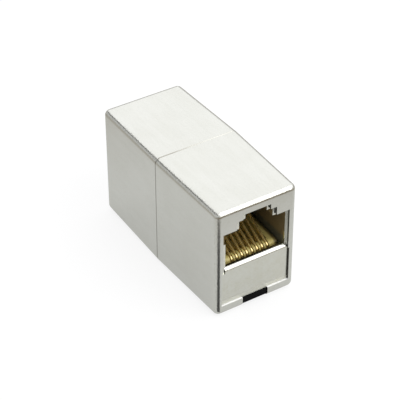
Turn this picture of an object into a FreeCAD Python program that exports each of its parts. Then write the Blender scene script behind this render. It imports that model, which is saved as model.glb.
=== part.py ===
import FreeCAD, Part

# Shielded eight-way inline coupler.  Two plated half shells are slid over a
# printed board that carries two modular jacks back to back.  Millimetres, +Z up,
# the front end faces -Y, and the origin lies under the middle of the seam.
#
# Every body is drawn for the front end, in a frame whose z = 0 is the floor of
# the shells' cavity, and the rear pieces are the same bodies turned half a turn.
# A depth is always measured inwards from the end face.

import enum
import math
import os
import re

import Sketcher
from FreeCAD import Placement, Rotation, Vector

DIMENSIONS = {
    # overall form of one half shell
    "half_length": (18.15, "end face to seam"),
    "end_rim": (0.95, "side wall at the end face"),
    "end_roof": (1.63, "wall above the cavity at the end face"),
    "end_floor": (1.90, "wall below the cavity at the end face"),
    "end_wall": (0.62, "end wall that holds the jack back"),
    "side_draft": (1.18, "degrees, each side"),
    "roof_draft": (0.74, "degrees, top and bottom"),
    "long_edge_radius": (1.10, "edges along the shell"),
    "end_edge_radius": (1.00, "edges round the end face"),
    "seam_chamfer": (0.12, "edge broken at the seam"),
    "core_depth": (0.70, "relief in the roof and the floor"),
    "core_margin": (1.40, "width left for each guide rail"),
    "core_stop": (4.20, "depth left solid behind the end face"),
    "tongue_wall": (0.50, "thickness of the locating tongue"),
    "tongue_length": (0.90, "reach of the tongue past the seam"),
    # plug opening, as cut in the shield
    "plug_width": (11.80, "main width"),
    "keyway_width": (6.62, "first step"),
    "neck_width": (4.22, "second step"),
    "plug_shift": (0.20, "plug axis beside the shell's axis"),
    "sill_level": (6.84, "sill above the cavity floor"),
    "opening_rise": (7.66, "sill to the top of the main width"),
    "keyway_rise": (1.62, "height of the first step"),
    "neck_rise": (1.01, "height of the second step"),
    "side_reveal": (0.60, "shell opening wider than the shield's, each side"),
    "crown_reveal": (0.39, "shell opening higher than the shield's"),
    "roof_web": (0.35, "shell opening to the cavity roof"),
    "window_inset": (0.17, "shell opening under the sill narrower than the cavity, each side"),
    # shield
    "sheet_metal": (0.30, "thickness"),
    "fit_gap": (0.07, "clearance between pieces slid together"),
    "jack_length": (14.40, "depth of the shield behind the end wall"),
    "panel_recess": (0.40, "lower panel behind the end face"),
    "panel_lift": (0.04, "foot of the lower panel above the cavity floor"),
    "panel_tab": (0.12, "tab of the lower panel below the cavity floor"),
    "sill_apron": (0.45, "top of the lower panel below the sill level"),
    "sill_rise": (0.62, "top of the rolled sill above the sill level"),
    "sill_radius": (0.80, "outer radius of the rolled sill"),
    "sill_reach": (0.90, "rolled sill, from the lower panel's front to its end"),
    "sill_margin": (0.10, "rolled sill past the plug opening"),
    "relief_height": (2.20, "relief at the shield's upper left corner"),
    "relief_width": (0.75, "relief at the shield's upper left corner"),
    # jack housing
    "housing_wall": (0.56, "mean side wall"),
    "housing_back": (0.95, "rear wall"),
    "housing_length": (13.40, "front face to back"),
    "skirt": (0.85, "front wall under the sill"),
    "latch_width": (4.90, "latch foot"),
    "latch_length": (2.60, "latch foot, end face to its back"),
    "latch_recess": (0.25, "latch foot behind the end face"),
    "latch_drop": (1.43, "latch foot below the cavity floor"),
    "latch_ramp": (0.90, "run-in at the back of the foot"),
    # printed board
    "board_stand": (1.40, "board above the cavity floor"),
    "board_thickness": (1.00, "laminate"),
    "hole_gap": (0.06, "radial clearance round a tail or a peg"),
    # contact wires
    "contact_pitch": (1.016, "centre to centre"),
    "contact_diameter": (0.50, "wire"),
    "contact_drop": (0.94, "lower run below the sill"),
    "contact_rise": (28.0, "degrees, spring arm above the level"),
    "nose_bend": (0.80, "centre-line radius round the nose"),
    "nose_depth": (3.00, "centre of that bend behind the end face"),
    "tail_bend": (0.70, "centre-line radius above the tail"),
    "tail_depth": (8.90, "first row of tails behind the end face"),
    "tail_stagger": (2.54, "between the two rows"),
    "tail_length": (0.70, "tail below the board"),
    "tip_depth": (11.50, "end of the spring arm behind the end face"),
    # contact carrier
    "wire_gap": (0.09, "clearance round a wire"),
    "rib_drop": (0.10, "ribs below the outside of the wires"),
    "cheek_gap": (0.60, "outer wire to the cheek"),
    "cheek_width": (1.25, "solid end of the nose"),
    "cheek_rise": (0.40, "rise of each cheek from the nose to the comb"),
    "comb_depth": (10.60, "front of the rear comb"),
    "comb_room": (0.49, "slot behind the last wire"),
    "comb_cap": (0.80, "solid above the slots"),
    "peg_diameter": (1.50, "locating pegs"),
    "peg_depth": (6.00, "pegs behind the end face"),
    "peg_inset": (1.50, "peg centre inside the carrier's side"),
}

CONTACTS = 8
QUARTER_TURN = 90


class Spot(enum.IntEnum):
    """Sketcher's numbers for the points of an edge."""
    START = enum.auto()
    END = enum.auto()
    CENTRE = enum.auto()


START, END, CENTRE = Spot

# Lengths that follow from the ones above, written in their names.
CAVITY_HALF = "(plug_width / 2 + housing_wall + sheet_metal + 2 * fit_gap)"
NECK_TOP = "(sill_level + opening_rise + keyway_rise + neck_rise)"
CAVITY_ROOF = f"({NECK_TOP} + crown_reveal + roof_web)"
SEAM_SIDE = f"({CAVITY_HALF} + end_rim + half_length * tan(side_draft * 1 deg))"
SEAM_GROWTH = "(half_length * tan(roof_draft * 1 deg))"
CORE_HALF = f"({CAVITY_HALF} - core_margin)"
SHIELD_HALF = f"({CAVITY_HALF} - fit_gap)"
SHIELD_ROOF = f"({CAVITY_ROOF} - fit_gap)"
HOUSING_HALF = f"({SHIELD_HALF} - sheet_metal - fit_gap)"
HOUSING_ROOF = f"({SHIELD_ROOF} - sheet_metal - fit_gap)"
HOUSING_FRONT = "(end_wall + sheet_metal)"
SKIRT_BACK = f"({HOUSING_FRONT} + skirt)"
WINDOW_HALF = f"({CAVITY_HALF} - window_inset)"
OPENING_HALF = "(plug_width / 2 + side_reveal)"
PANEL_HALF = f"({WINDOW_HALF} - fit_gap)"
PANEL_BACK = "(panel_recess + sheet_metal)"
TAB_LEVEL = "(-panel_tab)"
BOARD_TOP = "(board_stand + board_thickness)"
RUN_LEVEL = "(sill_level - contact_drop)"
NOSE_LEVEL = f"({RUN_LEVEL} + nose_bend)"
WIRE_RADIUS = "(contact_diameter / 2)"
CARRIER_FLOOR = f"({RUN_LEVEL} - {WIRE_RADIUS} - wire_gap)"
CARRIER_FRONT = f"({SKIRT_BACK} + fit_gap)"
CARRIER_BACK = f"({HOUSING_FRONT} + housing_length - housing_back - fit_gap)"
CARRIER_HALF = "(plug_width / 2 - fit_gap)"
ROW_HALF = f"({CONTACTS - 1} * contact_pitch / 2)"
SLOT_WIDTH = "(contact_diameter + 2 * wire_gap)"
TIP_LEVEL = f"({NOSE_LEVEL} + nose_bend / cos(contact_rise * 1 deg)" \
            " + (tip_depth - nose_depth) * tan(contact_rise * 1 deg))"
COMB_BACK = f"(max(tip_depth; tail_depth + tail_stagger) + {WIRE_RADIUS} + comb_room)"
COMB_SLOT_TOP = f"({TIP_LEVEL} + {WIRE_RADIUS} / cos(contact_rise * 1 deg) + wire_gap)"
COMB_TOP = f"({COMB_SLOT_TOP} + comb_cap)"
RIB_REACH = f"(nose_bend + {WIRE_RADIUS} - rib_drop)"
PEG_X = f"({CARRIER_HALF} - peg_inset)"

document = FreeCAD.newDocument("inline_coupler")
sheet = document.addObject("Spreadsheet::Sheet", "dims")
for row, (alias, (size, meaning)) in enumerate(DIMENSIONS.items(), start=1):
    sheet.set(f"A{row}", alias)
    sheet.set(f"B{row}", str(size))
    sheet.set(f"C{row}", meaning)
    sheet.setAlias(f"B{row}", alias)
document.recompute()

parts = []


def formula(text):
    """The expression with each dimension's name pointed at its cell."""
    return re.sub(r"[a-z_]+", lambda word: ("dims." if word[0] in DIMENSIONS else "") + word[0], text)


def value(text):
    """The present value of an expression."""
    return float(sheet.evalExpression(formula(text)))


# ---------------------------------------------------------------- sketching


def new_part(name, turned, aside="0"):
    """A body of its own, lifted off the ground and turned round for the rear end."""
    body = document.addObject("PartDesign::Body", name)
    body.Label = name
    body.Placement = Placement(Vector(), Rotation(Vector(0, 0, 1), 180 if turned else 0))
    side = "-" if turned else ""
    body.setExpression(".Placement.Base.x", formula(f"{side}({aside})"))
    body.setExpression(".Placement.Base.z", formula(f"end_floor + {SEAM_GROWTH}"))
    parts.append(body)
    return body


def origin_feature(body, role):
    """One of the body's own planes or axes."""
    return next(item for item in body.Origin.OriginFeatures if item.Role == role)


def new_sketch(body, name, role, out="0", origin="0"):
    """A sketch on one of the body's own planes, moved out along its normal."""
    sketch = body.newObject("Sketcher::SketchObject", f"{body.Name}_{name}")
    sketch.AttachmentSupport = [(origin_feature(body, role), "")]
    sketch.MapMode = "FlatFace"
    sketch.setExpression(".AttachmentOffset.Base.x", formula(origin))
    sketch.setExpression(".AttachmentOffset.Base.z", formula(out))
    return sketch


def face_sketch(body, name, depth="0"):
    """A sketch seen from the end, x across and y up, at a depth behind the end face."""
    return new_sketch(body, name, "XZ_Plane", out=f"half_length - ({depth})")


def side_sketch(body, name, aside="0"):
    """A sketch seen from the side, x as depth behind the end face and y up."""
    return new_sketch(body, name, "YZ_Plane", out=aside, origin="-half_length")


def plan_sketch(body, name, level):
    """A sketch seen from above at a height over the cavity floor."""
    return new_sketch(body, name, "XY_Plane", out=level)


def tie(sketch, text, kind, *target):
    """A dimension on a sketch, bound to an expression; target ends with its present size."""
    index = sketch.addConstraint(Sketcher.Constraint(kind, *target))
    sketch.setExpression(f"Constraints[{index}]", formula(text))


def pin_point(sketch, edge, end, x, y):
    """Hold one point of an edge at the given expressions."""
    spot = sketch.getPoint(edge, end)
    for kind, axis, text, now in (("DistanceX", -2, x, spot.x), ("DistanceY", -1, y, spot.y)):
        if text == "0":
            sketch.addConstraint(Sketcher.Constraint("PointOnObject", edge, end, axis))
        else:
            tie(sketch, text, kind, -1, START, edge, end, now)


def draw_loop(sketch, corners):
    """A closed outline through corners that are pairs of expressions."""
    spots = [Vector(value(x), value(y), 0) for x, y in corners]
    edges = []
    for spot, following in zip(spots, spots[1:] + spots[:1]):
        edges.append(sketch.addGeometry(Part.LineSegment(spot, following), False))
    for edge, following in zip(edges, edges[1:] + edges[:1]):
        sketch.addConstraint(Sketcher.Constraint("Coincident", edge, END, following, START))
    for edge, (x, y) in zip(edges, corners):
        pin_point(sketch, edge, START, x, y)


def draw_box(sketch, left, right, low, high):
    draw_loop(sketch, [(left, low), (right, low), (right, high), (left, high)])


def draw_circle(sketch, x, y, diameter):
    edge = sketch.addGeometry(
        Part.Circle(Vector(value(x), value(y), 0), Vector(0, 0, 1), value(diameter) / 2), False
    )
    pin_point(sketch, edge, CENTRE, x, y)
    tie(sketch, diameter, "Diameter", edge, value(diameter))


def stepped_corners(widths, tops, low, shift="0"):
    """Corners of a stepped plug opening, widest step first, closed along the bottom."""
    right = [(f"{widths[0]} / 2", low)]
    for width, top, narrower in zip(widths, tops, list(widths[1:]) + [None]):
        right.append((f"{width} / 2", top))
        if narrower:
            right.append((f"{narrower} / 2", top))
    left = [(f"-{x}", y) for x, y in reversed(right)]
    return [(f"{shift} + {x}" if shift != "0" else x, y) for x, y in right + left]


# ----------------------------------------------------------------- features


def extrude(body, kind, sketch, length, back=False, both=False):
    """A pad or a pocket; back=True sends it against its usual direction."""
    feature = body.newObject(f"PartDesign::{kind}", sketch.Name.replace("_sketch", "") + "_" + kind.lower())
    feature.Profile = sketch
    feature.Midplane = both
    feature.Reversed = back
    if length == "through":
        feature.Type = "ThroughAll"
    else:
        feature.setExpression("Length", formula(length))
    sketch.Visibility = False
    body.Tip = feature
    document.recompute()
    return feature


def pad(body, sketch, length, **options):
    return extrude(body, "Pad", sketch, length, **options)


def pocket(body, sketch, length, **options):
    return extrude(body, "Pocket", sketch, length, **options)


def repeat(body, feature, spacing, count):
    """Copies of a feature across the body."""
    pattern = body.newObject("PartDesign::LinearPattern", f"{feature.Name}_row")
    pattern.Originals = [feature]
    pattern.Direction = (origin_feature(body, "X_Axis"), [""])
    pattern.setExpression("Length", formula(f"{count - 1} * {spacing}"))
    pattern.Occurrences = count
    body.Tip = pattern
    document.recompute()
    return pattern


def dress_edges(body, kind, name, size, wanted):
    """A fillet or a chamfer on the edges of the present tip that wanted() picks."""
    base = body.Tip
    picked = [f"Edge{number}" for number, edge in enumerate(base.Shape.Edges, 1) if wanted(edge)]
    feature = body.newObject(f"PartDesign::{kind}", f"{body.Name}_{name}")
    feature.Base = (base, picked)
    feature.setExpression("Radius" if kind == "Fillet" else "Size", formula(size))
    body.Tip = feature
    document.recompute()
    return feature


def lies_at(edge, axis, place):
    """Whether every end of the edge has this coordinate."""
    return all(math.isclose(vertex.Point[axis], place, abs_tol=1e-6) for vertex in edge.Vertexes)


# ------------------------------------------------------------------- shells


def make_shell(name, turned, has_tongue):
    """Drafted half shell: end wall with the stepped opening, cored cavity, latch slot."""
    body = new_part(name, turned)
    low, high = f"-end_floor - {SEAM_GROWTH}", f"{CAVITY_ROOF} + end_roof + {SEAM_GROWTH}"
    plan = plan_sketch(body, "plan", low)
    end_side = f"({CAVITY_HALF} + end_rim)"
    draw_loop(plan, [(f"-{end_side}", "-half_length"), (end_side, "-half_length"),
                     (SEAM_SIDE, "0"), (f"-{SEAM_SIDE}", "0")])
    pad(body, plan, f"{high} - ({low})")
    for place, level, end_level in (("roof", high, f"{CAVITY_ROOF} + end_roof"),
                                    ("floor", low, "-end_floor")):
        lean = side_sketch(body, f"{place}_draft")
        draw_loop(lean, [("0", end_level), ("half_length", level), ("0", level)])
        pocket(body, lean, f"2 * {SEAM_SIDE}", both=True)

    end_y = -value("half_length")
    dress_edges(body, "Fillet", "long_edges", "long_edge_radius",
                lambda edge: not lies_at(edge, 1, end_y) and not lies_at(edge, 1, 0))
    dress_edges(body, "Fillet", "end_edges", "end_edge_radius", lambda edge: lies_at(edge, 1, end_y))
    dress_edges(body, "Chamfer", "seam_edges", "seam_chamfer", lambda edge: lies_at(edge, 1, 0))

    cavity = face_sketch(body, "cavity", "half_length")
    draw_box(cavity, f"-{CAVITY_HALF}", CAVITY_HALF, "0", CAVITY_ROOF)
    pocket(body, cavity, "half_length - end_wall", back=True)

    for place, low, high in (("roof", CAVITY_ROOF, f"{CAVITY_ROOF} + core_depth"),
                             ("floor", "-core_depth", "0")):
        core = face_sketch(body, f"{place}_core", "half_length")
        draw_box(core, f"-{CORE_HALF}", CORE_HALF, low, high)
        pocket(body, core, "half_length - core_stop", back=True)

    opening = face_sketch(body, "opening")
    widths = [f"({width} + 2 * side_reveal)" for width in ("plug_width", "keyway_width", "neck_width")]
    tops = ["sill_level + opening_rise + crown_reveal",
            "sill_level + opening_rise + crown_reveal + keyway_rise",
            f"{NECK_TOP} + crown_reveal"]
    steps = stepped_corners(widths, tops, "sill_level")
    window = [(f"-{WINDOW_HALF}", "sill_level"), (f"-{WINDOW_HALF}", "0"),
              (WINDOW_HALF, "0"), (WINDOW_HALF, "sill_level")]
    draw_loop(opening, steps + window)
    pocket(body, opening, "end_wall")

    slot = face_sketch(body, "latch_slot")
    slot_side = "(latch_width / 2 + fit_gap)"
    draw_box(slot, f"-{slot_side}", slot_side, "-2 * end_floor", "0")
    pocket(body, slot, "latch_length + fit_gap")

    ring_gap = "0" if has_tongue else "fit_gap"
    ring_side = f"({CAVITY_HALF} + tongue_wall + {ring_gap})"
    ring_low = f"-core_depth - tongue_wall - {ring_gap}"
    ring_high = f"{CAVITY_ROOF} + core_depth + tongue_wall + {ring_gap}"
    ring = face_sketch(body, "ring", "half_length")
    draw_box(ring, f"-{ring_side}", ring_side, ring_low, ring_high)
    if has_tongue:
        draw_box(ring, f"-{CAVITY_HALF}", CAVITY_HALF, "-core_depth", f"{CAVITY_ROOF} + core_depth")
        pad(body, ring, "tongue_length", back=True)
    else:
        pocket(body, ring, "tongue_length + fit_gap", back=True)
    return body


# ------------------------------------------------------------------ shields


def plug_corners(low, crown="0"):
    """The plug opening of the shield and the housing."""
    tops = [f"sill_level + opening_rise + {crown}",
            f"sill_level + opening_rise + keyway_rise + {crown}",
            f"{NECK_TOP} + {crown}"]
    return stepped_corners(["plug_width", "keyway_width", "neck_width"], tops, low, "plug_shift")


def make_shield(name, turned):
    """Folded sheet: front with the plug opening, lower panel with its sill, roof and sides."""
    body = new_part(name, turned)
    back = "(end_wall + jack_length)"
    lip = "(end_wall + sheet_metal)"
    apron = "(sill_level - sill_apron)"
    side_foot = f"({BOARD_TOP} + fit_gap)"
    outer = side_sketch(body, "outer")
    draw_loop(outer, [("end_wall", SHIELD_ROOF), ("end_wall", apron), ("panel_recess", apron),
                      ("panel_recess", "panel_lift"), (PANEL_BACK, "panel_lift"),
                      (PANEL_BACK, side_foot), (back, side_foot), (back, SHIELD_ROOF)])
    pad(body, outer, f"2 * {SHIELD_HALF}", both=True)

    beyond = f"({back} + sheet_metal)"
    inner_roof = f"({SHIELD_ROOF} - sheet_metal)"
    inner = side_sketch(body, "inner")
    draw_loop(inner, [(lip, inner_roof), (lip, apron), (PANEL_BACK, f"{apron} - sheet_metal"),
                      (PANEL_BACK, "panel_lift"), (beyond, "panel_lift"), (beyond, inner_roof)])
    pocket(body, inner, f"2 * ({SHIELD_HALF} - sheet_metal)", both=True)

    edges = face_sketch(body, "panel_edges")
    for side in ("", "-"):
        draw_box(edges, f"{side}{PANEL_HALF}", f"{side}{CAVITY_HALF}", "0", "sill_level")
    pocket(body, edges, "end_wall")

    tab = face_sketch(body, "panel_tab", "panel_recess")
    draw_box(tab, "-latch_width / 2", "latch_width / 2", TAB_LEVEL, "panel_lift + sheet_metal")
    pad(body, tab, "sheet_metal", back=True)

    opening = face_sketch(body, "opening")
    corners = plug_corners("sill_level")
    left = "plug_shift - plug_width / 2"
    top = "sill_level + opening_rise"
    relief = [(f"{left} - relief_width", top), (f"{left} - relief_width", f"{top} - relief_height"),
              (left, f"{top} - relief_height")]
    draw_loop(opening, corners[:-2] + relief + corners[-1:])
    pocket(body, opening, f"{lip} + sheet_metal")
    add_sill(body, apron)
    return body


def add_sill(body, apron):
    """Top of the lower panel rolled back, cut free of the sheet beside it."""
    half, right = "(plug_width / 2)", f"({OPENING_HALF} - fit_gap)"
    left = f"(plug_shift - {half} - sill_margin)"
    top = "(sill_level + sill_rise)"
    beside = face_sketch(body, "sill_relief")
    draw_box(beside, f"{left} - fit_gap", OPENING_HALF, apron, f"{top} + fit_gap")
    pocket(body, beside, f"{HOUSING_FRONT} + sheet_metal")

    under, end = f"({top} - sheet_metal)", "(panel_recess + sill_reach)"
    fold = side_sketch(body, "sill", left)
    draw_loop(fold, [("panel_recess", apron), ("panel_recess", top), (end, top),
                     (end, under), (PANEL_BACK, under), (PANEL_BACK, apron)])
    pad(body, fold, f"{right} - {left}")
    for name, depth, level, radius in (("outside", "panel_recess", top, "sill_radius"),
                                       ("inside", PANEL_BACK, under, "sill_radius - sheet_metal")):
        fold_y, fold_z = value(f"{depth} - half_length"), value(level)
        dress_edges(body, "Fillet", f"sill_{name}", radius,
                    lambda edge: lies_at(edge, 1, fold_y) and lies_at(edge, 2, fold_z))

    ends = face_sketch(body, "sill_ends", f"{HOUSING_FRONT} - fit_gap")
    draw_box(ends, f"plug_shift + {half} - fit_gap", OPENING_HALF, apron, top)
    draw_box(ends, f"{left} - fit_gap", f"plug_shift - {half} + fit_gap", apron, top)
    pocket(body, ends, "sill_reach")


# ----------------------------------------------------------------- housings


def make_housing(name, turned):
    """Moulded jack housing: plug cavity, front skirt and the latch foot below it."""
    body = new_part(name, turned)
    block = face_sketch(body, "block", HOUSING_FRONT)
    draw_box(block, f"-{HOUSING_HALF}", HOUSING_HALF, BOARD_TOP, HOUSING_ROOF)
    pad(body, block, "housing_length", back=True)

    cavity = face_sketch(body, "cavity", HOUSING_FRONT)
    draw_loop(cavity, plug_corners(BOARD_TOP))
    pocket(body, cavity, "housing_length - housing_back")

    front = face_sketch(body, "front", HOUSING_FRONT)
    draw_box(front, f"-{HOUSING_HALF}", HOUSING_HALF, "fit_gap", "sill_level - sheet_metal")
    pad(body, front, "skirt", back=True)

    latch = side_sketch(body, "latch")
    latch_top = f"({TAB_LEVEL} - fit_gap)"
    draw_loop(latch, [("latch_recess", "-latch_drop"), ("latch_recess", latch_top),
                      (HOUSING_FRONT, latch_top), (HOUSING_FRONT, "board_stand"),
                      (SKIRT_BACK, "board_stand"), (SKIRT_BACK, "0"),
                      ("latch_length", "0"), ("latch_length", "-latch_drop / 4"),
                      ("latch_length - latch_ramp", "-latch_drop")])
    pad(body, latch, "latch_width", both=True)
    return body


# ----------------------------------------------------------------- carriers


def slot_corners(depth):
    """Room in the carrier's floor for one tail and the bend above it."""
    return (f"{depth} - tail_bend - {WIRE_RADIUS} - wire_gap", f"{depth} + {WIRE_RADIUS} + wire_gap")


def make_carrier(name, turned):
    """Contact carrier: floor, round nose with ribs and cheeks, rear comb and pegs."""
    body = new_part(name, turned, "plug_shift")
    floor = side_sketch(body, "floor")
    draw_loop(floor, [(CARRIER_FRONT, BOARD_TOP), (CARRIER_BACK, BOARD_TOP),
                      (CARRIER_BACK, COMB_TOP), ("comb_depth", COMB_TOP),
                      ("comb_depth", CARRIER_FLOOR), (CARRIER_FRONT, CARRIER_FLOOR)])
    pad(body, floor, f"2 * {CARRIER_HALF}", both=True)

    rib_side = f"({SLOT_WIDTH} / 2)"
    rib = new_rib_sketch(body, "rib", f"-{ROW_HALF} - contact_pitch + {rib_side}")
    first = pad(body, rib, f"contact_pitch - {SLOT_WIDTH}")
    repeat(body, first, "contact_pitch", CONTACTS + 1)

    nose = side_sketch(body, "nose")
    draw_circle(nose, "nose_depth", NOSE_LEVEL, f"2 * (nose_bend - {WIRE_RADIUS} - wire_gap)")
    pad(body, nose, f"2 * {CARRIER_HALF}", both=True)

    cheek_x = f"({ROW_HALF} + cheek_gap)"
    cheek_top = f"({NOSE_LEVEL} + {RIB_REACH})"
    for side, start in (("right", cheek_x), ("left", f"-{cheek_x} - cheek_width")):
        pad(body, new_rib_sketch(body, f"{side}_cheek", start), "cheek_width")
        shelf = side_sketch(body, f"{side}_shelf", start)
        draw_loop(shelf, [("nose_depth", BOARD_TOP), ("nose_depth", cheek_top),
                          ("comb_depth", f"{cheek_top} + cheek_rise"), ("comb_depth", BOARD_TOP)])
        pad(body, shelf, "cheek_width")

    for place, depth, start in (("near", "tail_depth", f"-{ROW_HALF}"),
                                ("far", "tail_depth + tail_stagger", f"-{ROW_HALF} + contact_pitch")):
        front, back = slot_corners(depth)
        tails = plan_sketch(body, f"{place}_tails", CARRIER_FLOOR)
        draw_box(tails, f"{start} - {rib_side}", f"{start} + {rib_side}",
                 f"{front} - half_length", f"{back} - half_length")
        slot = pocket(body, tails, f"{CARRIER_FLOOR} - {BOARD_TOP}")
        repeat(body, slot, "2 * contact_pitch", CONTACTS // 2)

    comb = face_sketch(body, "comb", "comb_depth")
    draw_box(comb, f"-{ROW_HALF} - {rib_side}", f"-{ROW_HALF} + {rib_side}",
             CARRIER_FLOOR, COMB_SLOT_TOP)
    slot = pocket(body, comb, f"{COMB_BACK} - comb_depth")
    repeat(body, slot, "contact_pitch", CONTACTS)

    pegs = plan_sketch(body, "pegs", BOARD_TOP)
    for side in ("", "-"):
        draw_circle(pegs, f"{side}{PEG_X}", "peg_depth - half_length", "peg_diameter")
    pad(body, pegs, "board_thickness", back=True)
    return body


def new_rib_sketch(body, name, aside):
    """Side view of one rib: upright sides up to the bend's centre, round above."""
    sketch = side_sketch(body, name, aside)
    reach = value(RIB_REACH)
    middle = Vector(value("nose_depth"), value(NOSE_LEVEL), 0)
    low = value(BOARD_TOP)
    near, far = middle.x - reach, middle.x + reach
    crown = sketch.addGeometry(Part.ArcOfCircle(
        Part.Circle(middle, Vector(0, 0, 1), reach), 0, math.pi), False)
    left = sketch.addGeometry(Part.LineSegment(Vector(near, middle.y, 0), Vector(near, low, 0)), False)
    foot = sketch.addGeometry(Part.LineSegment(Vector(near, low, 0), Vector(far, low, 0)), False)
    right = sketch.addGeometry(Part.LineSegment(Vector(far, low, 0), Vector(far, middle.y, 0)), False)
    for first, end, second, start in ((crown, END, left, START), (right, END, crown, START)):
        sketch.addConstraint(Sketcher.Constraint("Tangent", first, end, second, start))
    for first, second in ((left, foot), (foot, right)):
        sketch.addConstraint(Sketcher.Constraint("Coincident", first, END, second, START))
    sketch.addConstraint(Sketcher.Constraint("Vertical", left))
    sketch.addConstraint(Sketcher.Constraint("Horizontal", foot))
    pin_point(sketch, crown, CENTRE, "nose_depth", NOSE_LEVEL)
    tie(sketch, RIB_REACH, "Radius", crown, reach)
    tie(sketch, BOARD_TOP, "DistanceY", -1, START, foot, START, low)
    return sketch


# ----------------------------------------------------------------- contacts


def arc(sketch, middle, radius, start, end):
    """An arc from start to end, in degrees, turning the usual way."""
    circle = Part.Circle(middle, Vector(0, 0, 1), radius)
    return sketch.addGeometry(Part.ArcOfCircle(circle, math.radians(start), math.radians(end)), False)


def make_contact(name, turned, number):
    """Contact wire: tail through the board, lower run, bend round the nose, spring arm."""
    aside = f"plug_shift + {number} * contact_pitch - {ROW_HALF}"
    body = new_part(name, turned, aside)
    tail = "tail_depth" if number % 2 == 0 else "(tail_depth + tail_stagger)"
    low = "(board_stand - tail_length)"
    path = side_sketch(body, "path")
    tail_x, tail_low, run = value(tail), value(low), value(RUN_LEVEL)
    corner, bend, rise = value("tail_bend"), value("nose_bend"), value("contact_rise")
    nose = Vector(value("nose_depth"), run + bend, 0)
    slope = math.radians(rise)
    arm_start = nose + Vector(-math.sin(slope), math.cos(slope), 0) * bend
    arm = value("tip_depth") - arm_start.x
    arm_end = arm_start + Vector(arm, arm * math.tan(slope), 0)

    upright = sketch_line(path, (tail_x, tail_low), (tail_x, run - corner))
    knee = arc(path, Vector(tail_x - corner, run - corner, 0), corner, 0, QUARTER_TURN)
    level = sketch_line(path, (tail_x - corner, run), (nose.x, run))
    hook = arc(path, nose, bend, QUARTER_TURN + rise, 3 * QUARTER_TURN)
    spring = sketch_line(path, (arm_start.x, arm_start.y), (arm_end.x, arm_end.y))
    for first, end, second, start in ((upright, END, knee, START), (knee, END, level, START),
                                      (level, END, hook, END), (hook, START, spring, START)):
        path.addConstraint(Sketcher.Constraint("Tangent", first, end, second, start))
    path.addConstraint(Sketcher.Constraint("Vertical", upright))
    path.addConstraint(Sketcher.Constraint("Horizontal", level))
    pin_point(path, upright, START, tail, low)
    pin_point(path, hook, CENTRE, "nose_depth", NOSE_LEVEL)
    tie(path, "tail_bend", "Radius", knee, corner)
    tie(path, "nose_bend", "Radius", hook, bend)
    tie(path, "contact_rise * 1 deg", "Angle", spring, slope)
    tie(path, "tip_depth", "DistanceX", -1, START, spring, END, arm_end.x)

    section = plan_sketch(body, "section", low)
    draw_circle(section, "0", f"{tail} - half_length", "contact_diameter")
    document.recompute()
    wire = body.newObject("PartDesign::AdditivePipe", f"{name}_wire")
    wire.Profile = section
    wire.Spine = (path, [f"Edge{count}" for count in range(1, len(path.Shape.Edges) + 1)])
    body.Tip = wire
    for sketch in (path, section):
        sketch.Visibility = False
    return body


def sketch_line(sketch, start, end):
    return sketch.addGeometry(Part.LineSegment(Vector(*start, 0), Vector(*end, 0)), False)


# -------------------------------------------------------------------- board


def make_board(name):
    """Printed board with a drilled hole for every tail and peg."""
    body = new_part(name, False)
    side = f"({CAVITY_HALF} - fit_gap)"
    reach = f"(half_length - {CARRIER_FRONT})"
    blank = plan_sketch(body, "blank", "board_stand")
    draw_box(blank, f"-{side}", side, f"-{reach}", reach)
    pad(body, blank, "board_thickness")
    holes = plan_sketch(body, "holes", BOARD_TOP)
    for end in ("", "-"):
        for number in range(CONTACTS):
            tail = "tail_depth" if number % 2 == 0 else "tail_depth + tail_stagger"
            draw_circle(holes, f"{end}(plug_shift + {number} * contact_pitch - {ROW_HALF})",
                        f"{end}({tail} - half_length)", "contact_diameter + 2 * hole_gap")
        for peg in (PEG_X, f"-{PEG_X}"):
            draw_circle(holes, f"{end}(plug_shift + {peg})", f"{end}(peg_depth - half_length)",
                        "peg_diameter + 2 * hole_gap")
    pocket(body, holes, "board_thickness")
    return body


# ----------------------------------------------------------------- assembly


def build():
    for end, turned in (("front", False), ("rear", True)):
        make_shell(f"{end}_shell", turned, has_tongue=not turned)
        make_shield(f"{end}_shield", turned)
        make_housing(f"{end}_housing", turned)
        make_carrier(f"{end}_contact_carrier", turned)
        for number in range(CONTACTS):
            make_contact(f"{end}_contact_{number + 1}", turned, number)
    make_board("circuit_board")
    document.recompute()


def check():
    """Stop if any object failed or any piece is not one sound solid."""
    for item in document.Objects:
        if "Invalid" in item.State or "Error" in item.State:
            raise RuntimeError(f"{item.Name} failed: {item.State}")
    for body in parts:
        shape = body.Shape
        if shape.isNull() or not shape.isValid() or len(shape.Solids) != 1:
            raise RuntimeError(f"{body.Label} is not one sound solid")


def export():
    os.makedirs("parts", exist_ok=True)
    for body in parts:
        body.Shape.exportStep(f"parts/{body.Label}.step")
        box = body.Shape.BoundBox
        print(f"{body.Label:24s} {body.Shape.Volume:9.3f} mm3  "
              f"x {box.XMin:7.2f} {box.XMax:7.2f}  y {box.YMin:7.2f} {box.YMax:7.2f}  "
              f"z {box.ZMin:6.2f} {box.ZMax:6.2f}")


build()
check()
export()
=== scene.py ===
import math

import bpy
import numpy as np
from bpy.props import FloatProperty, FloatVectorProperty, PointerProperty
from bpy.types import Operator, Panel, PropertyGroup
from mathutils import Matrix, Vector


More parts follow.
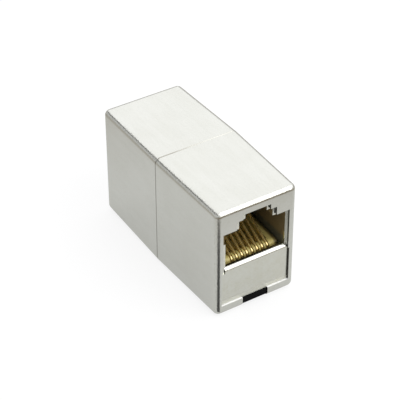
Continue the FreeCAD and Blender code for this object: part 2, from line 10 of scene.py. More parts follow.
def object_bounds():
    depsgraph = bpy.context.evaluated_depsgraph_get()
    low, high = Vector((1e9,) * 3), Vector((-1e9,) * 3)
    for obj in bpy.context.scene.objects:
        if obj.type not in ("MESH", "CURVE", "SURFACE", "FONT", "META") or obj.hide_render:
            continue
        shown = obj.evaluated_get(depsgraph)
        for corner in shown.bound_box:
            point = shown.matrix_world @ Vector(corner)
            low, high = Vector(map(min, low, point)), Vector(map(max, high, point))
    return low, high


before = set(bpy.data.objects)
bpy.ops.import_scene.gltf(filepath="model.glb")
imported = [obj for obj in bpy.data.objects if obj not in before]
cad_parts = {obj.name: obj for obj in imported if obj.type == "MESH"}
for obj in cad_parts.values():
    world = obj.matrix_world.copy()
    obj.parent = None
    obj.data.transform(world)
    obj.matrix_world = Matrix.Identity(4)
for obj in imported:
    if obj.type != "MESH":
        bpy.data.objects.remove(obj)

bl_info = {
    "name": "Inline Jack Coupler",
    "version": (1, 0, 0),
    "blender": (4, 5, 0),
    "location": "View3D > Sidebar > Coupler",
    "description": "Finishes, stage and camera for a shielded inline jack coupler",
    "category": "Object",
}

MM = 0.001
CAD_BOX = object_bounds()
END_FACE = CAD_BOX[1][1]
ENDS = ("front", "rear")
CONTACTS = 8


def mm(*values):
    """Millimetres as metres."""
    return tuple(value * MM for value in values)


# --------------------------------------------------------------- node trees


class Tree:
    """Short calls for adding and joining nodes; most return the new node's result."""

    def __init__(self, tree):
        self.tree = tree

    def node(self, kind, **options):
        made = self.tree.nodes.new(kind)
        for name, setting in options.items():
            setattr(made, name, setting)
        return made

    def feed(self, socket, source):
        """Joins a socket to another one, or gives it a plain value or an opaque colour."""
        if isinstance(source, bpy.types.NodeSocket):
            self.tree.links.new(source, socket)
        elif socket.type == "RGBA":
            socket.default_value = (*source, 1.0)
        else:
            socket.default_value = source

    def math(self, operation, *sources):
        made = self.node("ShaderNodeMath", operation=operation)
        for socket, source in zip(made.inputs, sources):
            self.feed(socket, source)
        return made.outputs["Value"]

    def product(self, *sources):
        """The sources multiplied together."""
        found = sources[0]
        for source in sources[1:]:
            found = self.math("MULTIPLY", found, source)
        return found

    def scaled(self, source, factor, offset):
        """The source times a factor, plus an offset."""
        return self.math("MULTIPLY_ADD", source, factor, offset)

    def vector(self, operation, source):
        """Vector math on one vector; its length comes out as a plain value."""
        made = self.node("ShaderNodeVectorMath", operation=operation)
        self.feed(made.inputs[0], source)
        return made.outputs["Value" if operation == "LENGTH" else "Vector"]

    def remap(self, source, low, high, to_low=0.0, to_high=1.0):
        """Smooth step from one span of values to another."""
        made = self.node("ShaderNodeMapRange", interpolation_type="SMOOTHSTEP")
        for socket, value in zip(made.inputs, (source, low, high, to_low, to_high)):
            self.feed(socket, value)
        return made.outputs["Result"]

    def above(self, source, span):
        """Mask that rises over a span of values and is full above it."""
        return self.remap(source, *span)

    def below(self, source, span):
        """Mask that is full below a span of values and falls over it."""
        return self.remap(source, *span, 1.0, 0.0)

    def blend(self, amount, first, second, how="MIX"):
        """Mixes two colours; of the node's like-named sockets, the numbered ones take colours."""
        made = self.node("ShaderNodeMix", data_type="RGBA", blend_type=how)
        sockets = (made.inputs["Factor"], *made.inputs[6:8])
        for socket, source in zip(sockets, (amount, first, second)):
            self.feed(socket, source)
        return made.outputs[2]

    def tinted(self, first, second):
        """One colour multiplied by another."""
        return self.blend(1.0, first, second, "MULTIPLY")

    def noise(self, place, size, detail=2.0, roughness=0.5):
        """Noise whose blobs are about size metres across."""
        made = self.node("ShaderNodeTexNoise")
        for label, source in (("Vector", place), ("Scale", self.math("DIVIDE", 1.0, size)),
                              ("Detail", detail), ("Roughness", roughness)):
            self.feed(made.inputs[label], source)
        return made.outputs["Fac"]

    def place(self):
        """The point on the piece, in metres."""
        return self.node("ShaderNodeTexCoord").outputs["Object"]

    def normal(self):
        """The direction that the surface faces."""
        return self.node("ShaderNodeNewGeometry").outputs["Normal"]

    def split(self, vector):
        """The three parts of a vector, by axis."""
        made = self.node("ShaderNodeSeparateXYZ")
        self.feed(made.inputs[0], vector)
        return made.outputs

    def aside(self, vector):
        """How far a vector reaches across the coupler, to either side."""
        return self.math("ABSOLUTE", self.split(vector)["X"])

    def height(self):
        """How high the point lies, in metres."""
        return self.split(self.place())["Z"]

    def depth(self):
        """How far the point lies behind its own end face, in metres."""
        from_seam = self.math("ABSOLUTE", self.split(self.place())["Y"])
        return self.math("SUBTRACT", END_FACE, from_seam)

    def group(self, name, value):
        """A shared effect, with its one input set."""
        made = self.node("ShaderNodeGroup", node_tree=bpy.data.node_groups[name])
        self.feed(made.inputs[0], value)
        return made.outputs

    def bump(self, height, distance):
        """The normal of a surface whose height of 1 stands distance metres proud."""
        made = self.node("ShaderNodeBump")
        self.feed(made.inputs["Height"], height)
        self.feed(made.inputs["Distance"], distance)
        return made.outputs["Normal"]


def new_group(name, label, default, outputs):
    """An empty node group with one input; returns its tree, that input and its outputs."""
    group = bpy.data.node_groups.new(name, "ShaderNodeTree")
    socket = group.interface.new_socket(label, in_out="INPUT", socket_type="NodeSocketFloat")
    socket.default_value = default
    for output in outputs:
        group.interface.new_socket(output, in_out="OUTPUT", socket_type="NodeSocketFloat")
    tree = Tree(group)
    given = tree.node("NodeGroupInput").outputs[label]
    return tree, given, tree.node("NodeGroupOutput").inputs


def build_grain():
    """Satin grain: two sizes of fine noise added, as a height and as a speckle mask."""
    tree, size, put = new_group("satin_grain", "Size", 0.2 * MM, ("Height", "Speckle"))
    coarse_size, coarse_share, speckle = 3.5, 0.6, (0.5, 0.68)
    place = tree.place()
    fine = tree.noise(place, size, detail=3.0, roughness=0.6)
    coarse = tree.noise(place, tree.product(size, coarse_size), detail=1.0)
    tree.feed(put["Height"], tree.math("ADD", fine, tree.product(coarse, coarse_share)))
    tree.feed(put["Speckle"], tree.above(fine, speckle))


def build_rounding():
    """Mask of the rounded edges: how far the normal leans away from the nearest axis."""
    tree, softness, put = new_group("rounded_edges", "Softness", 0.12, ("Mask",))
    flat = 0.004
    parts = tree.split(tree.vector("ABSOLUTE", tree.normal()))
    widest = tree.math("MAXIMUM", parts["X"], tree.math("MAXIMUM", parts["Y"], parts["Z"]))
    lean = tree.math("SUBTRACT", 1.0, widest)
    tree.feed(put["Mask"], tree.above(lean, (flat, softness)))


def build_handling():
    """Handling marks: broad clouds and long faint wipes along the length, as one mask."""
    tree, size, put = new_group("handling_marks", "Size", 6.0 * MM, ("Mask",))
    wipe_scale, half, middle = (6.0, 0.6, 6.0), 0.5, (0.35, 0.65)
    place = tree.place()
    clouds = tree.noise(place, size, detail=3.0)
    stretched = tree.node("ShaderNodeMapping", vector_type="POINT")
    tree.feed(stretched.inputs["Vector"], place)
    tree.feed(stretched.inputs["Scale"], wipe_scale)
    wipes = tree.noise(stretched.outputs[0], size, detail=4.0, roughness=0.65)
    both = tree.scaled(wipes, half, tree.product(clouds, half))
    tree.feed(put["Mask"], tree.above(both, middle))


def build_skin():
    """Moulding texture: slow waves of melt flow with fine pimples on them."""
    tree, size, put = new_group("moulded_skin", "Size", 0.4 * MM, ("Height", "Mask"))
    wave_size, wave_share, middle = 9.0, 0.5, (0.35, 0.65)
    place = tree.place()
    fine = tree.noise(place, size)
    slow = tree.noise(place, tree.product(size, wave_size))
    tree.feed(put["Height"], tree.scaled(slow, wave_share, fine))
    tree.feed(put["Mask"], tree.above(slow, middle))


def new_material(name):
    """A material with a plain Principled shader; returns it, its tree and the shader's inputs."""
    material = bpy.data.materials.new(name)
    material.use_nodes = True
    shader = material.node_tree.nodes["Principled BSDF"]
    return material, Tree(material.node_tree), shader.inputs


def finish_nodes(material, names):
    """Gives the material to the CAD nodes of these names."""
    for name in names:
        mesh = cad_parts[name].data
        mesh.materials.clear()
        mesh.materials.append(material)


def pair(piece):
    """The front and the rear node of a piece."""
    return [f"{end}_{piece}" for end in ENDS]


# ----------------------------------------------------------------- settings


def length(label, text, millimetres):
    return FloatProperty(name=label, description=text, default=millimetres * MM, min=0.0,
                         subtype="DISTANCE", unit="LENGTH", precision=5)


def tint(label, text, value):
    return FloatVectorProperty(name=label, description=text, default=value, size=3,
                               min=0.0, max=1.0, subtype="COLOR")


def share(label, text, value):
    return FloatProperty(name=label, description=text, default=value, min=0.0, max=1.0,
                         subtype="FACTOR")


def turn(label, text, degrees):
    return FloatProperty(name=label, description=text, default=math.radians(degrees),
                         subtype="ANGLE", unit="ROTATION")


def brightness(label, text, value):
    return FloatProperty(name=label, description=text, default=value, min=0.0)


class FinishSettings(PropertyGroup):
    """Colours and surface sizes of the coupler's finishes."""
    nickel: tint("Nickel", "Satin plating of the two half shells", (0.66, 0.664, 0.622))
    nickel_roughness: share("Nickel roughness", "Spread of the shells' gloss", 0.19)
    grain_size: length("Grain size", "Width of one grain of the satin plating", 0.18)
    grain_depth: length("Grain depth", "Height of the satin grain", 0.013)
    # Real pitting over the faces; on the rounded edges the denser specks are a painted dark
    # reflection.
    pit_and_reflection: tint("Pits", "Dark specks in the satin plating", (0.16, 0.15, 0.13))
    # Painted shade: the dark colour of the walls inside the shells' openings.
    recess_shade: tint("Recess", "Walls inside the openings of the shells", (0.06, 0.058, 0.054))
    # Painted highlight: the white of the ledge stands in for the bright reflection along it.
    ledge: tint("Ledge", "Pale ledge at the foot of the openings", (0.93, 0.93, 0.93))
    joint: tint("Joint", "Broken edges where the half shells meet", (0.20, 0.193, 0.17))
    sheet: tint("Sheet", "Nickel plated sheet of the shields", (0.67, 0.675, 0.62))
    sheet_roughness: share("Sheet roughness", "Spread of the shields' gloss", 0.15)
    # Rubbed folds, paler in colour; the paleness is also a painted highlight on the rounded edges.
    sheet_edges_and_highlight: tint("Sheet edges", "Rubbed folds of the shields", (0.80, 0.80, 0.77))
    # Painted shade: near-black patches on the shields' web beside the steps.
    step_shade: tint("Step shade", "Dark patches beside the opening's steps", (0.015, 0.015, 0.015))
    plastic: tint("Plastic", "Smoky black moulded housings", (0.11, 0.104, 0.066))
    # Painted light: the brown of the walls above the smoky band stands in for the warm light in the
    # plug bay.
    upper_wall_warm_light: tint("Upper walls", "Plug bay above the contacts", (0.165, 0.125, 0.062))
    # Painted shade: the foot is drawn near black, for the shade in the slot under each shell.
    foot: tint("Latch foot", "Black foot of each housing", (0.0006, 0.0006, 0.0007))
    carrier: tint("Carrier", "Amber moulded contact carriers", (0.44, 0.365, 0.125))
    gold: tint("Gold", "Plating of the contact wires", (0.96, 0.76, 0.31))
    gold_roughness: share("Gold roughness", "Spread of the wires' gloss", 0.18)
    laminate: tint("Laminate", "Solder mask of the circuit board", (0.02, 0.12, 0.05))


class StageSettings(PropertyGroup):
    """Floor, lamps and the camera's place."""
    azimuth: turn("Azimuth", "Camera's turn round the object", -32.47)
    elevation: turn("Elevation", "Camera's height angle", 36.93)
    roll: turn("Roll", "Camera's turn about its own line of sight", -0.12)
    distance: length("Distance", "Camera to the object's centre", 266.93)
    aim_height: length("Aim height", "Middle of the object's height", 10.93)
    shift_right: length("Shift right", "Camera's shift to its right", 0.501)
    shift_down: length("Shift down", "Camera's shift downwards", 0.655)
    lens: FloatProperty(name="Lens", description="Focal length for a 36 mm sensor",
                        default=139.39, min=1.0, unit="CAMERA")
    floor_tone: tint("Floor", "Floor round the object, as gloss shows it", (0.50, 0.50, 0.485))
    table_tone: tint("Table", "Floor further away, as gloss shows it", (0.43, 0.41, 0.37))
    # Painted shade: the far floor towards the camera is dark, so that the metal shows a dark
    # reflection.
    front_shade_tone: tint("Painted shade in front", "The same towards the camera", (0.15, 0.12, 0.08))
    seen_tone: tint("Seen floor", "Floor as the camera sees it", (0.92, 0.92, 0.92))
    sheet_edge: length("Sheet edge", "Radius where the floor starts to darken in gloss", 24.0)
    gloss_share: share("White in gloss", "White that gloss sees mixed into the floor", 0.45)
    overhead: brightness("Overhead lamp", "Brightness of the overhead soft box", 0.66)
    fill: brightness("Front lamp", "Brightness of the upright soft box in front", 1.60)
    surround: brightness("Surround", "Brightness of the room's soft light", 0.70)


# ---------------------------------------------------------------- operators


# Spans over which the masks of the coloured zones rise or fall: distances across or from the
# seam, heights, and depths behind the end face.
RECESS_SIDE = mm(6.8, 6.9)
RECESS_MOUTH = mm(0.02, 0.10)
RECESS_BACK = mm(0.38, 0.48)
LEDGE_TOP = mm(2.6, 2.8)
HEM_TOP = mm(2.5, 3.0)
WEB_FOOT = mm(9.6, 9.8)
FACE_BACK = mm(0.70, 0.80)
JOINT_BESIDE_SEAM = mm(0.12, 0.15)
JOINT_FADE = mm(-2.0, 5.0)
FOOT_TOP = mm(2.05, 2.25)
SMOKY_TOP = mm(10.7, 11.3)
CHEEK_SIDE = mm(4.95, 5.4)
# Left, right, low and high edge of each patch of painted shade beside the steps, and the width over
# which they fade.
STEP_SHADE_PATCHES = (mm(3.78, 4.20, 16.95, 18.30), mm(2.58, 3.00, 18.65, 19.25))
STEP_SHADE_FADE = 0.02 * MM
# How much of the normal lies along an axis where a mask takes a wall as square on or slanting.
SQUARE_ON = (0.90, 0.95)
SLANTING = (0.2, 0.6)


class DressShells(Operator):
    """Satin nickel on the two half shells"""
    bl_idname = "coupler.dress_shells"
    bl_label = "Dress Shells"

    def execute(self, context):
        finish = context.scene.coupler_finish
        mark_size, edge_lean = 6.0 * MM, 0.12
        mark_roughness, edge_roughness, edge_swell, ledge_highlight_metal_drop = 0.03, -0.02, 1.2, -0.85
        material, tree, put = new_material("satin_nickel")
        grain = tree.group("satin_grain", finish.grain_size)
        marks = tree.group("handling_marks", mark_size)["Mask"]
        edges = tree.group("rounded_edges", edge_lean)["Mask"]
        ledge = self.ledge(tree)
        tree.feed(put["Base Color"], self.tone(tree, finish, grain["Speckle"], marks, edges, ledge))
        rough = tree.scaled(marks, mark_roughness, finish.nickel_roughness)
        tree.feed(put["Roughness"], tree.scaled(edges, edge_roughness, rough))
        # The metal is turned down on the ledge so that its painted white highlight shows.
        tree.feed(put["Metallic"], tree.scaled(ledge, ledge_highlight_metal_drop, 1.0))
        swell = tree.product(grain["Height"], tree.scaled(edges, edge_swell, 1.0))
        tree.feed(put["Normal"], tree.bump(swell, finish.grain_depth))
        finish_nodes(material, pair("shell"))
        return {"FINISHED"}

    def tone(self, tree, finish, speckle, marks, edges, ledge):
        """Clouded plating with dark specks, most on the edges, where they are also painted dark
        reflections; over it the painted shade on the walls in the openings, the painted highlight
        on the ledge, and the joint.
        """
        edge_pits_and_reflections, face_pits, nickel_in_faded = 0.33, 0.07, 0.36
        dull = tree.tinted(finish.nickel, (0.965, 0.965, 0.955))
        # Dark specks: real pitting over the faces; their extra density on the rounded edges is
        # painted dark reflection.
        pits_and_reflections = tree.product(speckle, tree.scaled(edges, edge_pits_and_reflections, face_pits))
        tone = tree.blend(pits_and_reflections, tree.blend(marks, finish.nickel, dull), finish.pit_and_reflection)
        # Painted shade on the walls inside the openings.
        tone = tree.blend(self.recess_shade(tree), tone, finish.recess_shade)
        # Painted highlight on the ledge.
        tone = tree.blend(ledge, tone, finish.ledge)
        near, fade = self.joint(tree)
        faded = tree.blend(nickel_in_faded, finish.joint, finish.nickel)
        return tree.blend(near, tone, tree.blend(fade, finish.joint, faded))

    def recess_shade(self, tree):
        """Mask of the upright walls inside the end openings, where shade is painted dark into the
        plating's colour.
        """
        depth = tree.depth()
        return tree.product(tree.above(tree.aside(tree.normal()), SQUARE_ON),
                            tree.below(tree.aside(tree.place()), RECESS_SIDE),
                            tree.above(depth, RECESS_MOUTH), tree.below(depth, RECESS_BACK))

    def ledge(self, tree):
        """Mask of the level ledge inside the foot of each end opening, where a white highlight is
        painted into the colour and the metal is turned down so that the white shows.
        """
        return tree.product(tree.above(tree.split(tree.normal())["Z"], SQUARE_ON),
                            tree.below(tree.height(), LEDGE_TOP),
                            tree.below(tree.depth(), FACE_BACK))

    def joint(self, tree):
        """Masks of the joint's broken edges, and of their fading to the right in patches."""
        patch_size, patch_reach = mm(3.0, 6.0)
        parts = tree.split(tree.place())
        near = tree.below(tree.math("ABSOLUTE", parts["Y"]), JOINT_BESIDE_SEAM)
        patches = tree.scaled(tree.noise(tree.place(), patch_size), patch_reach, parts["X"])
        upright = tree.above(tree.aside(tree.normal()), SLANTING)
        return near, tree.math("MAXIMUM", upright, tree.above(patches, JOINT_FADE))


class DressShields(Operator):
    """Rolled nickel sheet on the two folded shields"""
    bl_idname = "coupler.dress_shields"
    bl_label = "Dress Shields"

    def execute(self, context):
        finish = context.scene.coupler_finish
        grain_size, grain_depth, mark_size = mm(0.09, 0.0015, 3.0)
        edge_lean, edge_share = 0.15, 0.35
        mark_roughness, hem_roughness, web_dulling = 0.08, 0.40, -0.65
        material, tree, put = new_material("nickel_sheet")
        grain = tree.group("satin_grain", grain_size)
        marks = tree.group("handling_marks", mark_size)["Mask"]
        edges = tree.group("rounded_edges", edge_lean)["Mask"]
        warm = tree.tinted(finish.sheet, (0.95, 0.94, 0.90))
        tone = tree.blend(marks, finish.sheet, warm)
        # Paler rounded edges: rubbed folds and a painted highlight.
        tone = tree.blend(tree.product(edges, edge_share), tone, finish.sheet_edges_and_highlight)
        # Painted shade beside the opening's steps.
        tree.feed(put["Base Color"], tree.blend(self.step_shade(tree), tone, finish.step_shade))
        rough = tree.scaled(marks, mark_roughness, finish.sheet_roughness)
        tree.feed(put["Roughness"], tree.scaled(self.hem(tree), hem_roughness, rough))
        tree.feed(put["Metallic"], tree.scaled(self.web(tree), web_dulling, 1.0))
        tree.feed(put["Normal"], tree.bump(grain["Height"], grain_depth))
        finish_nodes(material, pair("shield"))
        return {"FINISHED"}

    def step_shade(self, tree):
        """Mask of the patches beside the steps where shade is painted near black; the rear half is
        the front one turned round, so across is measured the other way there."""
        parts = tree.split(tree.place())
        front_or_rear = tree.product(tree.math("SIGN", parts["Y"]), -1.0)
        aside, height = tree.product(parts["X"], front_or_rear), parts["Z"]
        found = 0.0
        for left, right, low, high in STEP_SHADE_PATCHES:
            patch = tree.product(tree.above(aside, (left, left + STEP_SHADE_FADE)),
                                 tree.below(aside, (right, right + STEP_SHADE_FADE)),
                                 tree.above(height, (low, low + STEP_SHADE_FADE)),
                                 tree.below(height, (high, high + STEP_SHADE_FADE)))
            found = tree.math("MAXIMUM", found, patch)
        return found

    def hem(self, tree):
        """Mask of the lower panel's foot, scuffed where it slides along the shell's ledge."""
        return tree.below(tree.height(), HEM_TOP)

    def web(self, tree):
        """Mask of the web round the plug opening, whose face is blasted pale and not rolled."""
        return tree.product(tree.above(tree.height(), WEB_FOOT),
                            tree.below(tree.depth(), FACE_BACK))


def moulded(name, size, depth, roughness, gloss, paint):
    """Moulded plastic: skin in the bump, flow lines in tone and gloss; paint() gives the colour."""
    edge_lean, edge_share, flow_share, flow_roughness = 0.2, 0.35, 0.30, 0.08
    material, tree, put = new_material(name)
    skin = tree.group("moulded_skin", size)
    edges = tree.group("rounded_edges", edge_lean)["Mask"]
    base = paint(tree)
    pale = tree.tinted(base, (1.5, 1.5, 1.5))
    worn = tree.scaled(edges, edge_share, tree.product(skin["Mask"], flow_share))
    tree.feed(put["Base Color"], tree.blend(worn, base, pale))
    tree.feed(put["Roughness"], tree.scaled(skin["Mask"], flow_roughness, roughness))
    tree.feed(put["Specular IOR Level"], gloss)
    tree.feed(put["Normal"], tree.bump(skin["Height"], depth))
    return material


class DressHousings(Operator):
    """Smoky black moulded plastic on the two jack housings"""
    bl_idname = "coupler.dress_housings"
    bl_label = "Dress Housings"

    def execute(self, context):
        finish = context.scene.coupler_finish

        def paint(tree):
            """Three levels: the foot painted near black as shade, the smoky walls, and above them
            walls painted brown as warm light.
            """
            height = tree.height()
            # Painted shade below FOOT_TOP; painted warm light above SMOKY_TOP.
            walls = tree.blend(tree.above(height, SMOKY_TOP), finish.plastic, finish.upper_wall_warm_light)
            return tree.blend(tree.above(height, FOOT_TOP), finish.foot, walls)

        material = moulded("black_housing", size=0.3 * MM, depth=0.003 * MM, roughness=0.12,
                           gloss=0.06, paint=paint)
        finish_nodes(material, pair("housing"))
        return {"FINISHED"}


class DressCarriers(Operator):
    """Amber moulded plastic on the two contact carriers"""
    bl_idname = "coupler.dress_carriers"
    bl_label = "Dress Carriers"

    def execute(self, context):
        finish = context.scene.coupler_finish

        def paint(tree):
            """The outer edges of the cheeks are painted darker, as shade in the gap beside the
            housing's walls.
            """
            cheek_shade = tree.above(tree.aside(tree.place()), CHEEK_SIDE)
            deep = tree.tinted(finish.carrier, (0.22, 0.20, 0.18))
            return tree.blend(cheek_shade, finish.carrier, deep)

        material = moulded("amber_carrier", size=0.2 * MM, depth=0.002 * MM, roughness=0.28,
                           gloss=0.50, paint=paint)
        finish_nodes(material, pair("contact_carrier"))
        return {"FINISHED"}


class DressContacts(Operator):
    """Gold plating with faint wipes along the contact wires"""
    bl_idname = "coupler.dress_contacts"
    bl_label = "Dress Contacts"

    def execute(self, context):
        finish = context.scene.coupler_finish
        grain_size, grain_depth, mark_size = mm(0.08, 0.0008, 1.2)
        mark_roughness = 0.06
        material, tree, put = new_material("gold_wire")
        grain = tree.group("satin_grain", grain_size)
        marks = tree.group("handling_marks", mark_size)["Mask"]
        deep = tree.tinted(finish.gold, (0.90, 0.84, 0.72))
        tree.feed(put["Base Color"], tree.blend(marks, finish.gold, deep))
        tree.feed(put["Roughness"], tree.scaled(marks, mark_roughness, finish.gold_roughness))
        for label, value in (("Metallic", 0.84), ("Coat Weight", 0.80),
                             ("Coat Roughness", 0.10), ("Coat IOR", 1.9)):
            tree.feed(put[label], value)
        tree.feed(put["Normal"], tree.bump(grain["Height"], grain_depth))
        finish_nodes(material, [name for number in range(1, CONTACTS + 1)
                                for name in pair(f"contact_{number}")])
        return {"FINISHED"}


class DressBoard(Operator):
    """Solder mask over woven laminate on the circuit board"""
    bl_idname = "coupler.dress_board"
    bl_label = "Dress Board"

    def execute(self, context):
        finish = context.scene.coupler_finish
        cloth_roughness, mask_roughness, cloth_depth = 0.1, 0.30, 0.002 * MM
        material, tree, put = new_material("board_laminate")
        cloth = tree.product(self.threads(tree, "X"), self.threads(tree, "Y"))
        pale = tree.tinted(finish.laminate, (1.5, 1.4, 1.3))
        tree.feed(put["Base Color"], tree.blend(cloth, finish.laminate, pale))
        tree.feed(put["Roughness"], tree.scaled(cloth, cloth_roughness, mask_roughness))
        tree.feed(put["Normal"], tree.bump(cloth, cloth_depth))
        finish_nodes(material, ["circuit_board"])
        return {"FINISHED"}

    def threads(self, tree, axis):
        """Waves along an axis, 2 pi / (20 x scale) metres or about 0.35 mm long."""
        scale = 900.0
        wave = tree.node("ShaderNodeTexWave", wave_type="BANDS", bands_direction=axis)
        tree.feed(wave.inputs["Vector"], tree.place())
        tree.feed(wave.inputs["Scale"], scale)
        return wave.outputs["Fac"]


# -------------------------------------------------------------------- stage


def grid_mesh(name, x, y, z, closed=False):
    """A mesh over a grid of points, rows by columns; closed joins the last column to the first."""
    points = np.stack(np.broadcast_arrays(x, y, z), axis=-1)
    rows, columns = points.shape[:2]
    number = np.arange(rows * columns).reshape(rows, columns)
    if closed:
        number = np.concatenate((number, number[:, :1]), axis=1)
    quads = np.stack((number[:-1, :-1], number[:-1, 1:], number[1:, 1:], number[1:, :-1]), axis=-1)
    mesh = bpy.data.meshes.new(name)
    mesh.from_pydata(points.reshape(-1, 3), [], quads.reshape(-1, 4).tolist())
    mesh.validate()
    made = bpy.data.objects.new(name, mesh)
    bpy.context.scene.collection.objects.link(made)
    return made


# The camera sees this share of white near the object and further off, at these distances.
SEEN_WHITE = (0.80, 1.0)
SEEN_FADE = (0.05, 0.30)
# In gloss the floor has its far tone from this many sheet edges on, and turns over this span to a
# dark
# # front tone, painted shade that the metal shows as a dark reflection.
FAR_FLOOR = 3.0
FRONT_SHADE_SPAN = (-0.09, -0.02)


def white_to_eye(tree, stage):
    """A diffuse floor that the camera sees nearly white, and gloss and glass partly so."""
    path = tree.node("ShaderNodeLightPath").outputs
    seen = path["Is Camera Ray"]
    mirrored = tree.math("MAXIMUM", path["Is Glossy Ray"], path["Is Transmission Ray"])
    radius = tree.vector("LENGTH", tree.place())
    away = tree.above(radius, (stage.sheet_edge, FAR_FLOOR * stage.sheet_edge))
    near = tree.product(tree.math("SUBTRACT", 1.0, away), stage.gloss_share)
    shown = tree.remap(radius, *SEEN_FADE, *SEEN_WHITE)
    white = tree.scaled(seen, shown, tree.product(mirrored, near))
    # Painted shade on the far floor towards the camera, for dark reflections.
    ahead = tree.below(tree.split(tree.place())["Y"], FRONT_SHADE_SPAN)
    table = tree.blend(ahead, stage.table_tone, stage.front_shade_tone)
    plain = tree.blend(away, stage.floor_tone, table)
    diffuse = tree.node("ShaderNodeBsdfDiffuse")
    tree.feed(diffuse.inputs["Color"], tree.blend(seen, plain, stage.seen_tone))
    glow = tree.node("ShaderNodeEmission")
    mixed = tree.node("ShaderNodeMixShader")
    for socket, source in zip(mixed.inputs, (white, diffuse.outputs[0], glow.outputs[0])):
        tree.feed(socket, source)
    return mixed.outputs[0]


def area_lamp(name, place, aim, size, radiance, tone=(1.0, 1.0, 1.0)):
    """A flat soft box: its power is pi times its area times the radiance."""
    width, reach = size
    lamp = bpy.data.lights.new(name, "AREA")
    lamp.shape = "RECTANGLE"
    lamp.size, lamp.size_y = width, reach
    lamp.energy = math.pi * width * reach * radiance
    lamp.color = tone
    made = bpy.data.objects.new(name, lamp)
    made.location = place
    made.rotation_euler = (Vector(aim) - Vector(place)).to_track_quat("-Z", "Y").to_euler()
    bpy.context.scene.collection.objects.link(made)


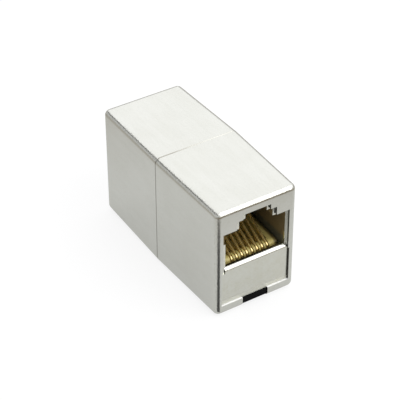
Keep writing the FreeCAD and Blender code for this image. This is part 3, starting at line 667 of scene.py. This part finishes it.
class BuildStage(Operator):
    """Floor, soft boxes, world and camera"""
    bl_idname = "coupler.build_stage"
    bl_label = "Build Stage"

    def execute(self, context):
        scene, stage = context.scene, context.scene.coupler_stage
        self.floor(stage)
        self.dark_cards()
        self.lamps(stage)
        self.room(scene, stage)
        self.camera(scene, stage)
        scene.view_settings.view_transform = "Standard"
        return {"FINISHED"}

    def floor(self, stage):
        """A disc: radius grows with the square of the row, angle with the column."""
        reach, rows, columns = 4.0, 24, 96
        row = np.linspace(0.02, 1.0, rows)[:, None]
        row[0] = 0.0  # the centre
        ring = reach * row ** 2
        angle = np.linspace(0.0, 2 * np.pi, columns, endpoint=False)
        floor = grid_mesh("floor", ring * np.cos(angle), ring * np.sin(angle), 0.0, closed=True)
        material = bpy.data.materials.new("floor")
        material.use_nodes = True
        tree = Tree(material.node_tree)
        output = material.node_tree.nodes["Material Output"]
        tree.feed(output.inputs["Surface"], white_to_eye(tree, stage))
        floor.data.materials.append(material)

    def gloss_card(self, name, tone, x, y, z):
        """A dull card that only gloss sees, which paints a dark reflection into the metal."""
        card = grid_mesh(name, x, y, z)
        material, tree, put = new_material(name)
        tree.feed(put["Base Color"], (tone, tone, tone))
        tree.feed(put["Roughness"], 0.9)
        card.data.materials.append(material)
        for ray in ("camera", "diffuse", "shadow", "transmission", "volume_scatter"):
            setattr(card, f"visible_{ray}", False)

    def dark_cards(self):
        """Dark cards that only gloss sees, which paint dark reflections into the metal: a fan over
        the floor, painted shade in front of the object, whose sides at s mm before the front face
        are at -8 - s mm and
        -7 + 0.1 s mm, and a level bar beside the overhead soft box, whose sides are straight."""
        rows = 12
        before = np.linspace(0.5, 25.0, rows)[:, None]
        left, right = -8.0 - before, -7.0 + 0.1 * before
        across = left + (right - left) * np.linspace(0.0, 1.0, 2)
        self.gloss_card("floor_card", tone=0.05, x=across * MM, y=CAD_BOX[0][1] - before * MM,
                        z=0.1 * MM)
        self.gloss_card("overhead_bar", tone=0.10, x=np.linspace(-0.36, -0.64, 2),
                        y=np.linspace(-0.4, 1.4, rows)[:, None], z=0.55)

    def lamps(self, stage):
        """A wide soft box overhead, whose light is a little blue, and an upright one in front."""
        area_lamp("overhead", place=(0.55, 0.30, 0.55), aim=(0.55, 0.30, 0.0), size=(1.8, 2.0),
                  radiance=stage.overhead, tone=(1.0, 1.0, 1.03))
        area_lamp("front", place=(0.22, -0.42, 0.28), aim=(0.0, 0.0, 0.01), size=(0.50, 0.60),
                  radiance=stage.fill)

    def room(self, scene, stage):
        """A world that is white to the camera and through glass, and dimmer as a light."""
        world = bpy.data.worlds.new("room")
        world.use_nodes = True
        scene.world = world
        tree = Tree(world.node_tree)
        path = tree.node("ShaderNodeLightPath").outputs
        seen = tree.math("MAXIMUM", path["Is Camera Ray"], path["Is Transmission Ray"])
        background = world.node_tree.nodes["Background"].inputs
        tree.feed(background["Color"], (1.0, 1.0, 1.0))
        tree.feed(background["Strength"], tree.remap(seen, 0.0, 1.0, stage.surround, 1.0))

    def camera(self, scene, stage):
        """Looks at the middle of the object's height; the small shifts set the framing."""
        lens = bpy.data.cameras.new("camera")
        lens.sensor_width = 36.0
        lens.lens = stage.lens
        lens.clip_start = 5.0 * MM
        made = bpy.data.objects.new("camera", lens)
        round_z, lift = stage.azimuth, stage.elevation
        right = Vector((math.cos(round_z), math.sin(round_z), 0.0))
        ahead = Vector((-math.sin(round_z), math.cos(round_z), 0.0))
        back = Vector((0.0, 0.0, math.sin(lift))) - math.cos(lift) * ahead
        up = back.cross(right)
        place = (Vector((0.0, 0.0, stage.aim_height)) + stage.distance * back
                 + stage.shift_right * right - stage.shift_down * up)
        axes = Matrix((right, up, back)).transposed().to_4x4()
        made.matrix_world = Matrix.Translation(place) @ axes @ Matrix.Rotation(stage.roll, 4, "Z")
        scene.collection.objects.link(made)
        scene.camera = made


# -------------------------------------------------------------------- panel


OPERATORS = (DressShells, DressShields, DressHousings, DressCarriers, DressContacts, DressBoard,
             BuildStage)


class CouplerPanel(Panel):
    """Lists the coupler's settings and operators."""
    bl_idname = "VIEW3D_PT_coupler"
    bl_label = "Coupler"
    bl_space_type = "VIEW_3D"
    bl_region_type = "UI"
    bl_category = "Coupler"

    def draw(self, context):
        for settings in (context.scene.coupler_finish, context.scene.coupler_stage):
            box = self.layout.box()
            for name in settings.__annotations__:
                box.prop(settings, name)
        for operator in OPERATORS:
            self.layout.operator(operator.bl_idname)


CLASSES = (FinishSettings, StageSettings, *OPERATORS, CouplerPanel)


def register():
    for item in CLASSES:
        bpy.utils.register_class(item)
    bpy.types.Scene.coupler_finish = PointerProperty(type=FinishSettings)
    bpy.types.Scene.coupler_stage = PointerProperty(type=StageSettings)


def unregister():
    del bpy.types.Scene.coupler_stage
    del bpy.types.Scene.coupler_finish
    for item in reversed(CLASSES):
        bpy.utils.unregister_class(item)


def main():
    """Registers the classes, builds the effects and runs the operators."""
    register()
    for build in (build_grain, build_rounding, build_handling, build_skin):
        build()
    for operator in OPERATORS:
        kind, name = operator.bl_idname.split(".")
        getattr(getattr(bpy.ops, kind), name)()


if __name__ == "__main__":
    main()
